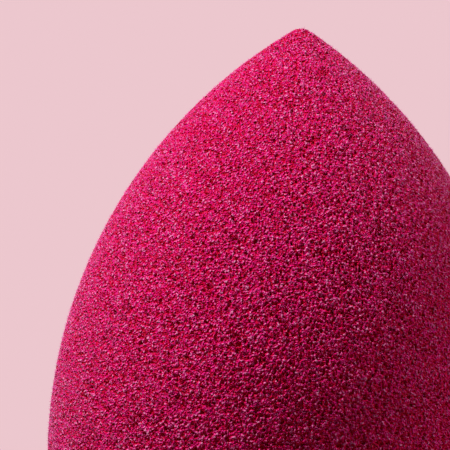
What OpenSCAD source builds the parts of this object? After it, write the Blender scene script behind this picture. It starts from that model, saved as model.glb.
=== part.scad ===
// A teardrop makeup sponge: a soft foam core, a film of adhesive all over it, and a short velvet pile
// that stands on the film. It stands upright on the small flat of its round underside.

/* [Sponge] */
// Height of the sponge, from the face it rests on to its tip
sponge_h = 60; // [46:1:90]
// Width of the sponge at its widest place
sponge_w = 42; // [24:0.5:60]
// Height of the widest place above the face it rests on
belly_h = 23; // [12:0.5:36]
// Radius that rounds the tip
tip_round_r = 1.4; // [1:0.1:6]
// How deep the resting face is pressed flat into the round underside
base_flat_depth = 0.5; // [0.3:0.1:1.5]

/* [Velvet coat] */
// Length of the velvet pile, which is the thickness of the coat
pile_l = 0.4; // [0.2:0.05:0.6]
// Thickness of the adhesive film that holds the pile on the foam
film_t = 0.1; // [0.05:0.05:0.2]
// Clearance that keeps each layer a solid of its own
layer_gap = 0.02; // [0.01:0.01:0.05]

/* [Hidden] */

sponge_r = sponge_w / 2;
// How far the crown rises and the dome falls from the widest place, the dome before it is pressed flat
crown_h = sponge_h - belly_h;
dome_h = belly_h + base_flat_depth;

// How far each layer's outside lies under the outside of the sponge
film_inset = pile_l + layer_gap;
core_inset = film_inset + film_t + layer_gap;

// Straight pieces that each round stretch of the outline is drawn with
crown_steps = 24;
tip_steps = 8;
dome_steps = 30;
turn_steps = 128;

// The crown's side bulges in one arc from the widest place up to the round tip. The side and the tip
// have their centres on one line through the place where they meet, which settles the side's radius.
crown_arc_r = (pow(crown_h - tip_round_r, 2) + pow(sponge_r, 2) - pow(tip_round_r, 2))
    / (2 * (sponge_r - tip_round_r));
crown_angle = atan2(crown_h - tip_round_r, crown_arc_r - sponge_r);
crown_centre = [sponge_r - crown_arc_r, belly_h];
tip_centre = [0, sponge_h - tip_round_r];

// The points of an arc after its first, which ends the stretch before it
function arc(centre, r, from, to, steps) = [
    for (i = [1:steps])
        let (a = from + (to - from) * i / steps)
        [centre.x + r * cos(a), centre.y + r * sin(a)]
];

// The underside is a quarter of an ellipse. Each point moves inwards along the ellipse's own normal.
function dome(inset) = [
    for (i = [0:dome_steps])
        let (
            a = 90 * (1 - i / dome_steps),
            normal = [cos(a) / sponge_r, -sin(a) / dome_h]
        )
        [sponge_r * cos(a), belly_h - dome_h * sin(a)] - inset * normal / norm(normal)
];

// Half of the outline, taken in by inset all over, from the middle of the underside up to the tip
function outline(inset) = concat(
    dome(inset),
    arc(crown_centre, crown_arc_r - inset, 0, crown_angle, crown_steps),
    arc(tip_centre, tip_round_r - inset, crown_angle, 90, tip_steps)
);

// The outline turned about the sponge's axis, and cut off where it stands
module sponge_shape(inset) {
    rotate_extrude($fn = turn_steps) intersection() {
        polygon(outline(inset));
        translate([0, inset]) square([sponge_w, sponge_h]);
    }
}

// The soft open-celled body that gives the sponge its shape and drinks up water
module foam_core() {
    color("hotpink") sponge_shape(core_inset);
}

// The thin skin of adhesive that the pile stands in
module bond_coat() {
    color("mistyrose") difference() {
        sponge_shape(film_inset);
        sponge_shape(film_inset + film_t);
    }
}

// The dense velvet pile that is the whole outside of the sponge
module flock_coat() {
    color("mediumvioletred") difference() {
        sponge_shape(0);
        sponge_shape(pile_l);
    }
}

foam_core();
bond_coat();
flock_coat();
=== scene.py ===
# %% [markdown]
# A teardrop makeup sponge
#
# The sponge is three layers, one inside the other: a foam body, a film of adhesive, and a coat of
# velvet pile. Only the pile shows. All three follow one outline turned about an upright axis, so
# this lesson first writes that outline as a function, and then shapes a dense sphere with it for
# each layer. The frame already holds the layers as plain solids at their true size and place. They
# are loaded first, because every size here is read from them or must agree with them.

# %% Load the frame
import math
import random

import bmesh
import bpy
from mathutils import Matrix, Vector, noise


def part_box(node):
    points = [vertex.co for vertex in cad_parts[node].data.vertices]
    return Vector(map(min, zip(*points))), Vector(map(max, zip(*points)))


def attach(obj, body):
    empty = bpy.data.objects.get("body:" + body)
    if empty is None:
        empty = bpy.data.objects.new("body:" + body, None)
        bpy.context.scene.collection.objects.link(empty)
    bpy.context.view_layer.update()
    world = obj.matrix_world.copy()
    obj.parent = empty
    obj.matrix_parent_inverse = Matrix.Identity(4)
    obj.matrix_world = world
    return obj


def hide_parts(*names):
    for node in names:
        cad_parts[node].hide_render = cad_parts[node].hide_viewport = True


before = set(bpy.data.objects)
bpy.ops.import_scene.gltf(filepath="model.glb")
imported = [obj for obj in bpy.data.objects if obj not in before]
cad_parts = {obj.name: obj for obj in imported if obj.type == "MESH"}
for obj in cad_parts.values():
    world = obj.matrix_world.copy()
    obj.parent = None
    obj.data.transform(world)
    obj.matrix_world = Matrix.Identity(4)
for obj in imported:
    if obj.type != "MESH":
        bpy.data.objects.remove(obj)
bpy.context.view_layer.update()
print("layers in the frame:", sorted(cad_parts))

# %% [markdown]
# The sizes come from the frame where the frame has them. A layer's box gives its height and width,
# and the differences between the boxes give how thick the pile and the film are. The height of the
# widest place and the radius of the tip can't be read off a box, so they are stated here.

# %% Sizes
MM = 0.001

pile_low, pile_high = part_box("flock_coat")
film_low, film_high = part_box("bond_coat")
core_low, core_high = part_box("foam_core")

sponge_h = pile_high[2] - pile_low[2]
sponge_r = (pile_high[0] - pile_low[0]) / 2
film_inset = pile_high[2] - film_high[2]
core_inset = pile_high[2] - core_high[2]

belly_h = 23 * MM
tip_round_r = 1.4 * MM
base_flat_depth = 0.5 * MM
layer_gap = 0.02 * MM
pile_l = film_inset - layer_gap
film_t = core_inset - film_inset - layer_gap
print(f"sponge {sponge_h / MM:.1f} mm high, {2 * sponge_r / MM:.1f} mm wide")
print(f"pile {pile_l / MM:.2f} mm long on {film_t / MM:.2f} mm of adhesive")

# %% [markdown]
# The outline has three stretches. The crown's side is one long arc, which leans in from the widest
# place to the tip. A small arc rounds the tip. The underside is a quarter of an ellipse. An arc is
# easy to walk along by distance, and that matters here: vertices that are spread evenly along the
# outline give an even mesh, so a fine texture looks the same everywhere. The function below takes a
# share of the way from the middle of the underside, at 0, to the tip, at 1.

# %% The outline as a function
crown_h = sponge_h - belly_h
dome_h = belly_h + base_flat_depth
tip_arc_h = crown_h - tip_round_r
side_arc_r = (tip_arc_h**2 + sponge_r**2 - tip_round_r**2) / (2 * (sponge_r - tip_round_r))
side_angle = math.atan2(tip_arc_h, side_arc_r - sponge_r)

dome_len = math.pi / 2 * math.sqrt((sponge_r**2 + dome_h**2) / 2)
side_len = side_arc_r * side_angle
tip_len = tip_round_r * (math.pi / 2 - side_angle)
outline_len = dome_len + side_len + tip_len


def outline(share):
    """Radius and height on the sponge's outside, and the outward normal there in the same two parts."""
    way = share * outline_len
    if way < dome_len:
        angle = math.pi / 2 * (1 - way / dome_len)
        r, z = sponge_r * math.cos(angle), belly_h - dome_h * math.sin(angle)
        normal = Vector((math.cos(angle) / sponge_r, -math.sin(angle) / dome_h)).normalized()
        return r, z, normal
    if way < dome_len + side_len:
        angle = (way - dome_len) / side_arc_r
        normal = Vector((math.cos(angle), math.sin(angle)))
        return sponge_r - side_arc_r + side_arc_r * normal.x, belly_h + side_arc_r * normal.y, normal
    angle = min(side_angle + (way - dome_len - side_len) / tip_round_r, math.pi / 2)
    normal = Vector((math.cos(angle), math.sin(angle)))
    return tip_round_r * normal.x, sponge_h - tip_round_r + tip_round_r * normal.y, normal


print(f"outline {outline_len / MM:.1f} mm long, side arc {side_arc_r / MM:.1f} mm in radius")

# %% [markdown]
# A sphere made of triangles has no poles, so it makes a better start than a turned shape: a turned
# shape's rings crowd together at the tip and the underside. Each vertex of the sphere looks up its
# own latitude as a share of the outline and moves there. A modifier could do the same, but moving
# the vertices in code keeps each one's place exact. The same helper makes every skin. Its inset
# takes the surface inwards along its normal, and its relief takes it in a little more wherever the
# pile is lower than its crests. No vertex goes below the flat that the sponge rests on. A skin with
# relief is subdivided nine times, to give each crest several faces, and a plain one six times.

# %% A sphere shaped into the sponge
fine_skin = 9
plain_skin = 6
on_axis = 1e-9


def on_skin(share, turn):
    """A place on the sponge's outside and the outward normal there. turn is a level vector, 1 long."""
    r, z, normal = outline(share)
    place = Vector((turn.x * r, turn.y * r, z))
    out = Vector((turn.x * normal.x, turn.y * normal.x, normal.y))
    return place, out


def add_skin(bm, subdivisions, inset, relief=None):
    """Adds one closed skin of the sponge's shape to the bmesh and returns its faces."""
    height = bm.verts.layers.float.get("relief") or bm.verts.layers.float.new("relief")
    verts = bmesh.ops.create_icosphere(bm, subdivisions=subdivisions, radius=1)["verts"]
    for v in verts:
        share = 0.5 + math.asin(max(-1, min(1, v.co.z))) / math.pi
        around = math.hypot(v.co.x, v.co.y)
        turn = Vector((1, 0))
        if around > on_axis:
            turn = Vector((v.co.x / around, v.co.y / around))
        place, out = on_skin(share, turn)
        v[height] = relief(place) if relief else 1
        v.co = place - out * (inset + (1 - v[height]) * relief_h)
        v.co.z = max(v.co.z, inset)
    return {f for v in verts for f in v.link_faces}


def finished(bm, name, node):
    """Turns the bmesh into a piece that rides on the sponge's one body and stands for a node."""
    mesh = bpy.data.meshes.new(name)
    bm.to_mesh(mesh)
    print(f"{name}: {len(bm.faces)} faces")
    bm.free()
    mesh.shade_smooth()
    piece = bpy.data.objects.new(name, mesh)
    bpy.context.scene.collection.objects.link(piece)
    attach(piece, "root")
    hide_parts(node)
    return piece


half_way = on_skin(0.5, Vector((1, 0)))[0]
print("half way along the outline, in mm:", [round(c / MM, 1) for c in half_way])

# %% [markdown]
# The velvet pile is hundreds of thousands of fibres. Hair could stand for them, but each one is far
# thinner than a pixel of the render, and the exported model can't carry hair. What the eye sees of
# them is how their tips lean together into fine crests, about a quarter of a millimetre apart, with
# dark gaps between. That relief is real geometry here, so that a low light throws shadows across
# it. Noise crosses zero along winding lines, so one minus its size makes crests there.

# %% The relief of the pile
crest_spacing = 0.28 * MM
crest_sharpness = 4.69
relief_h = 0.085 * MM


def crests(place):
    """How high the pile stands at a place: 1 along the crests, below 0 in the gaps."""
    return 1 - crest_sharpness * abs(noise.noise(place / crest_spacing, noise_basis="PERLIN_ORIGINAL"))


print(f"crests {crest_spacing / MM:.2f} mm apart, each unit of relief {relief_h / MM:.3f} mm deep")

# %% [markdown]
# The velvet coat is a shell as thick as the pile is long. A Solidify modifier could give it that
# thickness, but it would copy the relief to the inside as well. So the shell gets two skins of its
# own: an outer one with the relief, and a plain inner one that faces the adhesive. The inner skin's
# faces are turned over, so that both skins face away from the pile.

# %% The velvet coat
bm = bmesh.new()
add_skin(bm, fine_skin, 0, crests)
inner = add_skin(bm, plain_skin, pile_l)
bmesh.ops.reverse_faces(bm, faces=list(inner))
velvet = finished(bm, "velvet_pile", "flock_coat")

# %% [markdown]
# Some fibres of a pile always stand up beyond the rest. They soften the sponge's outline and lay a
# pale bloom over it. With hair ruled out here too, each of them is a thin cone of three sides,
# closed at its foot down in the pile. Making tens of thousands of cones one at a time is slow,
# because every call goes through the whole bmesh. So one cone is made and copied twice, and then
# all there is gets doubled again and again, until each cone can be moved to its own place. The
# places are picked by chance, more often where the sponge is wider, so that the fibres stand
# equally close everywhere. None stands under the sponge, where it rests on the floor.

# %% The loose fibres
fibre_r = 0.03 * MM
fibre_foot = 0.15 * MM
fibre_reach = 0.22 * MM
fibre_shortest = 0.6
fibre_sway = 0.3
nap_up = Vector((0, 0, 0.2))
first_copies = 2
doublings = 14
outline_steps = 2000
fibre_seed = 4
foot_to_origin = Vector((0, 0, 0.5))

bm = bmesh.new()
bmesh.ops.create_cone(bm, cap_ends=True, segments=3, radius1=fibre_r, radius2=0, depth=1)
for copies in [first_copies] + [1] * doublings:
    seed = bm.verts[:] + bm.edges[:] + bm.faces[:]
    for i in range(copies):
        bmesh.ops.duplicate(bm, geom=seed)

chance = random.Random(fibre_seed)
shares = [(i + 0.5) / outline_steps for i in range(outline_steps)]
girths = [r if z > fibre_reach else 0 for r, z, normal in map(outline, shares)]
tips = [v for v in bm.verts if v.co.z > 0]
for tip, share in zip(tips, chance.choices(shares, girths, k=len(tips))):
    angle = chance.uniform(0, 2 * math.pi)
    place, out = on_skin(share, Vector((math.cos(angle), math.sin(angle))))
    sway = Vector([chance.gauss(0, fibre_sway) for axis in "xyz"])
    along = (out + sway + nap_up).normalized().to_track_quat("Z", "Y").to_matrix().to_4x4()
    length = (fibre_foot + fibre_reach) * chance.uniform(fibre_shortest, 1)
    stand = Matrix.Translation(place - out * fibre_foot) @ along @ Matrix.Diagonal((1, 1, length, 1))
    for v in [tip] + [edge.other_vert(tip) for edge in tip.link_edges]:
        v.co = stand @ (v.co + foot_to_origin)
print(len(tips), "fibres")
fibres = finished(bm, "pile_fibres", "flock_coat")

# %% [markdown]
# The film of adhesive that holds the pile is a shell too, far thinner. The foam inside it is one
# solid body, moulded to the sponge's shape. Neither shows, so both are made plainly, with the same
# number of vertices as the pile's inner skin. Equal skins stay parallel and never cut each other.

# %% The adhesive film and the foam body
bm = bmesh.new()
add_skin(bm, plain_skin, film_inset)
inner = add_skin(bm, plain_skin, film_inset + film_t)
bmesh.ops.reverse_faces(bm, faces=list(inner))
film = finished(bm, "adhesive_film", "bond_coat")

bm = bmesh.new()
add_skin(bm, plain_skin, core_inset)
foam = finished(bm, "foam_body", "foam_core")

# %% [markdown]
# Each finish is a small graph of nodes. These helpers keep the graphs short: one adds a texture of
# a given size, one does a step of arithmetic on two values, one turns a value into a colour along a
# row of stops, and one tilts the shading as if the surface had height. Textures read Object
# coordinates, so a pattern keeps its true size in metres.

# %% Helpers for the finishes
def srgb(r, g, b):
    """A colour as a screen shows it, from 0 to 255, made linear."""
    shares = (r / 255, g / 255, b / 255)
    return tuple(c / 12.92 if c <= 0.04045 else ((c + 0.055) / 1.055) ** 2.4 for c in shares)


class Finish:
    """A material being built around its Principled shader."""

    def __init__(self, name):
        self.material = bpy.data.materials.new(name)
        self.material.use_nodes = True
        self.nodes = self.material.node_tree.nodes
        self.links = self.material.node_tree.links
        self.shader = self.nodes["Principled BSDF"]
        self.where = self.nodes.new("ShaderNodeTexCoord").outputs["Object"]

    def set(self, **values):
        """Sets the shader's own sockets, named with _ for each space."""
        for name, value in values.items():
            self.shader.inputs[name.replace("_", " ")].default_value = value

    def step(self, operation, first, second, clamp=False):
        """One step of arithmetic. Each side is a number or a node's output."""
        node = self.nodes.new("ShaderNodeMath")
        node.operation = operation
        node.use_clamp = clamp
        for socket, side in zip(node.inputs, (first, second)):
            if isinstance(side, (int, float)):
                socket.default_value = side
            else:
                self.links.new(side, socket)
        return node.outputs[0]

    def shifted(self, x, y, z):
        """The place on the surface, moved by this much, in metres."""
        node = self.nodes.new("ShaderNodeVectorMath")
        node.operation = "ADD"
        node.inputs[1].default_value = (x, y, z)
        self.links.new(self.where, node.inputs[0])
        return node.outputs[0]

    def pattern(self, kind, spacing, output, at=None, **values):
        """A texture whose features lie this far apart, in metres, read on the surface or elsewhere."""
        node = self.nodes.new(kind)
        node.inputs["Scale"].default_value = 1 / spacing
        for name, value in values.items():
            node.inputs[name].default_value = value
        self.links.new(at or self.where, node.inputs["Vector"])
        return node.outputs[output]

    def colours(self, value, stops):
        """A colour that runs along these stops, each a position from 0 to 1 and a colour."""
        node = self.nodes.new("ShaderNodeValToRGB")
        self.links.new(value, node.inputs["Fac"])
        ramp = node.color_ramp.elements
        while len(ramp) < len(stops):
            ramp.new(0.5)
        for element, (position, colour) in zip(ramp, stops):
            element.position = position
            element.color = (*colour, 1)
        return node.outputs["Color"]

    def bump(self, height, distance):
        """Tilts the shader's normal as if height stood this far up, in metres."""
        node = self.nodes.new("ShaderNodeBump")
        node.inputs["Distance"].default_value = distance
        self.links.new(height, node.inputs["Height"])
        self.links.new(node.outputs["Normal"], self.shader.inputs["Normal"])

    def dress(self, piece, colour):
        """Links the colour and puts the finish on the piece."""
        self.links.new(colour, self.shader.inputs["Base Color"])
        piece.data.materials.append(self.material)
        print(f"{self.material.name}: {len(self.nodes)} nodes")


print("half of a screen's white is", round(srgb(128, 128, 128)[0], 3), "of its light")

# %% [markdown]
# Velvet looks deep crimson where one looks down between its fibres, because light that gets out
# again has met many of them, and pale pink where a fibre's tip catches the light first. Here that
# shade and light are painted into the colour, on top of the crimson dye: painted shade in the gaps
# and painted light on the tips. Single tufts and fibres are smaller than the mesh can show, so two
# sizes of noise stand for them. They tilt the shading, and they also set the colour. The colour
# reads them a little up the sponge and to the left, towards the key lamp, so the painted pale tips
# lie on the sides of the tufts that face it. The pile's crests are painted paler and its gaps
# darker. A third noise paints a few tips as bright glints, and a little sheen pales the sponge
# towards its edges.

# %% The velvet's finish
tuft_spacing = 0.242 * MM
fibre_spacing = 0.155 * MM
glint_spacing = 0.16 * MM
# Painted light: the colour is read this far off, so the pale painted tips sit up and to the left, on
# the sides that face the key lamp.
painted_light_shift = (-0.019 * MM, 0, 0.044 * MM)
tuft_height = 0.83
fibre_height = 1.0
fibre_bump = 0.27 * MM
middle_tone = 0.485
# Painted shade: the relief makes the crests paler and the gaps between them darker.
gap_shade_tone = 0.17
tuft_tone = 0.8
fibre_tone = 1.1
# Painted glints: where the third noise passes this level, the colour runs towards the palest pink.
glint_from = 0.675
glint_gain = 3.8

velvet_finish = Finish("velvet_pile")


def tufts_and_fibres(at=None):
    """The two sizes of noise, each running from about -0.5 to 0.5."""
    wide = velvet_finish.pattern("ShaderNodeTexNoise", tuft_spacing, "Fac", at, Detail=0)
    fine = velvet_finish.pattern("ShaderNodeTexNoise", fibre_spacing, "Fac", at, Detail=0)
    return velvet_finish.step("SUBTRACT", wide, 0.5), velvet_finish.step("SUBTRACT", fine, 0.5)


def blended(tuft, tuft_share, fibre, fibre_share):
    """Both sizes added up, each times its share."""
    tuft_part = velvet_finish.step("MULTIPLY", tuft, tuft_share)
    fibre_part = velvet_finish.step("MULTIPLY", fibre, fibre_share)
    return velvet_finish.step("ADD", tuft_part, fibre_part)


tuft, fibre = tufts_and_fibres()
velvet_finish.bump(blended(tuft, tuft_height, fibre, fibre_height), fibre_bump)

# The colour's noise is read shifted towards the key lamp: painted light on the sides that face it.
tuft, fibre = tufts_and_fibres(velvet_finish.shifted(*(-c for c in painted_light_shift)))
relief = velvet_finish.nodes.new("ShaderNodeAttribute")
relief.attribute_name = "relief"
painted_gap_shade = velvet_finish.step("MULTIPLY", relief.outputs["Fac"], gap_shade_tone)
# Painted glints: a few bright pale specks painted into the colour.
glint_noise = velvet_finish.pattern("ShaderNodeTexNoise", glint_spacing, "Fac", Detail=0)
painted_glint = velvet_finish.step("SUBTRACT", glint_noise, glint_from)
painted_glint = velvet_finish.step("MULTIPLY", painted_glint, glint_gain, clamp=True)
# The tone adds the dye's random variation, painted light on the lit sides and crests, painted shade in
# the gaps and the painted glints.
dye_and_painted_light = velvet_finish.step("ADD", blended(tuft, tuft_tone, fibre, fibre_tone), painted_gap_shade)
dye_and_painted_light = velvet_finish.step("ADD", dye_and_painted_light, middle_tone)
dye_and_painted_light = velvet_finish.step("ADD", dye_and_painted_light, painted_glint, clamp=True)
# From painted shade in the gaps, through the crimson dye, to a painted pale highlight on the tips.
pile_dye_shade_and_highlight_stops = [
    (0.0, (0.38, 0.0, 0.003)),
    (0.448, (0.81, 0.001, 0.052)),
    (0.747, (0.92, 0.009, 0.29)),
    (1.0, (0.99, 0.33, 0.55)),
]
pile_colour_and_painted_light = velvet_finish.colours(dye_and_painted_light, pile_dye_shade_and_highlight_stops)
velvet_finish.set(Roughness=0.29, Specular_IOR_Level=0.032)
velvet_finish.set(Sheen_Weight=0.11, Sheen_Roughness=0.22, Sheen_Tint=(1.0, 0.48, 0.84, 1))
velvet_finish.dress(velvet, pile_colour_and_painted_light)

# %% [markdown]
# A single fibre is the same dyed thread as the rest, but light passes through it once and not
# through many of them, so it is paler and pinker than the pile. Soft noise as wide as a few tufts
# makes some of them deeper in colour than others.

# %% The fibres' finish
shade_spacing = 0.6 * MM
fibre_stops = [(0.35, (0.83, 0.07, 0.34)), (0.65, (0.88, 0.14, 0.48))]

fibre_finish = Finish("pile_fibres")
shades = fibre_finish.pattern("ShaderNodeTexNoise", shade_spacing, "Fac", Detail=1)
fibre_finish.set(Roughness=0.5, Specular_IOR_Level=0.1)
fibre_finish.dress(fibres, fibre_finish.colours(shades, fibre_stops))

# %% [markdown]
# The adhesive dries to a thin satin skin, a little uneven where the spray laid it thicker. Two
# octaves of soft noise are enough for that: they set both a slight bump and a pale or deeper pink.

# %% The film's finish
run_spacing = 2.5 * MM
run_bump = 0.04 * MM
film_stops = [(0.3, (0.72, 0.36, 0.46)), (0.7, (0.86, 0.6, 0.68))]

film_finish = Finish("adhesive_film")
runs = film_finish.pattern("ShaderNodeTexNoise", run_spacing, "Fac", Detail=2)
film_finish.bump(runs, run_bump)
film_finish.set(Roughness=0.45)
film_finish.dress(film, film_finish.colours(runs, film_stops))

# %% [markdown]
# The foam is open-celled: round holes a few tenths of a millimetre wide with thin walls between
# them. Voronoi cells have that look. They could be cut into the mesh, but the foam's skin is
# hidden, so they are a pattern in its finish: a bump, and painted shade that darkens the middle
# of each hole.

# %% The foam's finish
cell_spacing = 0.35 * MM
cell_bump = 0.12 * MM
# Painted shade: dark in the middle of each cell, the foam's pink on the walls.
foam_dye_and_hole_shade_stops = [(0.1, (0.3, 0.004, 0.07)), (0.6, (0.72, 0.04, 0.25))]

foam_finish = Finish("foam_body")
cells = foam_finish.pattern("ShaderNodeTexVoronoi", cell_spacing, "Distance")
foam_finish.bump(cells, cell_bump)
foam_finish.set(Roughness=0.85, Specular_IOR_Level=0.2)
foam_finish.dress(foam, foam_finish.colours(cells, foam_dye_and_hole_shade_stops))

# %% [markdown]
# The camera stands level with the crown and looks along Y. The lens is long, so the sides of the
# sponge look as parallel as in the photograph. It is aimed so that the tip lands on the pixel where
# the photograph has it, and rolled by two degrees, because the sponge leans to the right there.

# %% Camera
image_px = 450
px_per_mm = 11.38
tip_px = (301.75, 28.05)
lean = math.radians(2.06)
camera_distance = 0.5

frame_width = image_px / px_per_mm * MM
right = Vector((math.cos(lean), 0, math.sin(lean)))
up = Vector((-math.sin(lean), 0, math.cos(lean)))
from_tip = Vector((image_px / 2 - tip_px[0], tip_px[1] - image_px / 2)) / px_per_mm * MM
aim = Vector((0, 0, sponge_h)) + right * from_tip.x + up * from_tip.y

camera_data = bpy.data.cameras.new("camera")
camera = bpy.data.objects.new("camera", camera_data)
bpy.context.scene.collection.objects.link(camera)
camera_data.sensor_width = 36
camera_data.lens = camera_data.sensor_width * camera_distance / frame_width
camera_data.clip_start = 0.01
backward = right.cross(up)
turned = Matrix((right, up, backward)).transposed().to_4x4()
camera.matrix_world = Matrix.Translation(aim + backward * camera_distance) @ turned
bpy.context.scene.camera = camera
camera_place = [round(c / MM, 1) for c in camera.location]
print("camera at", camera_place, "mm, lens", round(camera_data.lens), "mm")

# %% [markdown]
# The photograph's light comes from a lamp up on the left. It is small for its distance, so it rakes
# across the pile and the tufts throw shadows. A weaker lamp fills in from the right. Both edges of
# the outline glow a little, so two dim lamps stand behind the sponge, one to each side.

# %% Lights
middle = Vector((0, 0, sponge_h / 2))
lamp_distance = 0.5


def add_lamp(name, azimuth, elevation, size, power):
    """A square lamp turned to the sponge. Azimuth 0 is towards the camera, 90 is to its right."""
    a, e = math.radians(azimuth), math.radians(elevation)
    away = Vector((math.sin(a) * math.cos(e), -math.cos(a) * math.cos(e), math.sin(e)))
    data = bpy.data.lights.new(name, "AREA")
    data.size = size
    data.energy = power
    lamp = bpy.data.objects.new(name, data)
    lamp.location = middle + away * lamp_distance
    lamp.rotation_euler = away.to_track_quat("Z", "Y").to_euler()
    bpy.context.scene.collection.objects.link(lamp)
    print(f"{name}: {power} W, {size} m")


add_lamp("key", -77, 55, 0.09, 2.88)
add_lamp("fill", 85, 27, 0.08, 0.88)
add_lamp("left_edge", -150, 0, 0.3, 0.35)
add_lamp("right_edge", 152, 30, 0.3, 0.47)

# %% [markdown]
# The photograph's background is one flat pale pink. The floor and the world both show that colour to
# the camera, and to anything glossy or clear. They give the sponge less light than they show, so
# that the lamps alone shape it.

# %% Floor and background
backdrop = srgb(236, 199, 206)
floor_r = 0.35
floor_bounce = 0.22
world_light = 0.012


def shown_share(nodes, links):
    """1 for a ray that shows the background, to the camera, gloss or glass, and 0 for light."""
    rays = nodes.new("ShaderNodeLightPath")
    total = rays.outputs["Is Camera Ray"]
    for name in ("Is Glossy Ray", "Is Transmission Ray"):
        add = nodes.new("ShaderNodeMath")
        add.use_clamp = True
        links.new(total, add.inputs[0])
        links.new(rays.outputs[name], add.inputs[1])
        total = add.outputs[0]
    return total


bm = bmesh.new()
bmesh.ops.create_circle(bm, cap_ends=True, radius=floor_r, segments=128)
mesh = bpy.data.meshes.new("floor")
bm.to_mesh(mesh)
bm.free()
floor = bpy.data.objects.new("floor", mesh)
bpy.context.scene.collection.objects.link(floor)
floor_finish = Finish("floor")
floor_finish.set(Roughness=0.9)
dimmed = tuple(c * floor_bounce for c in backdrop)
floor_share = shown_share(floor_finish.nodes, floor_finish.links)
floor_finish.dress(floor, floor_finish.colours(floor_share, [(0.0, dimmed), (1.0, backdrop)]))

world = bpy.data.worlds.new("studio")
bpy.context.scene.world = world
world.use_nodes = True
nodes, links = world.node_tree.nodes, world.node_tree.links
nodes.clear()
output = nodes.new("ShaderNodeOutputWorld")
mixed = nodes.new("ShaderNodeMixShader")
links.new(shown_share(nodes, links), mixed.inputs["Fac"])
for socket, strength in ((1, world_light), (2, 1.0)):
    background = nodes.new("ShaderNodeBackground")
    background.inputs["Color"].default_value = (*backdrop, 1)
    background.inputs["Strength"].default_value = strength
    links.new(background.outputs[0], mixed.inputs[socket])
links.new(mixed.outputs[0], output.inputs["Surface"])

bpy.context.scene.view_settings.view_transform = "Standard"
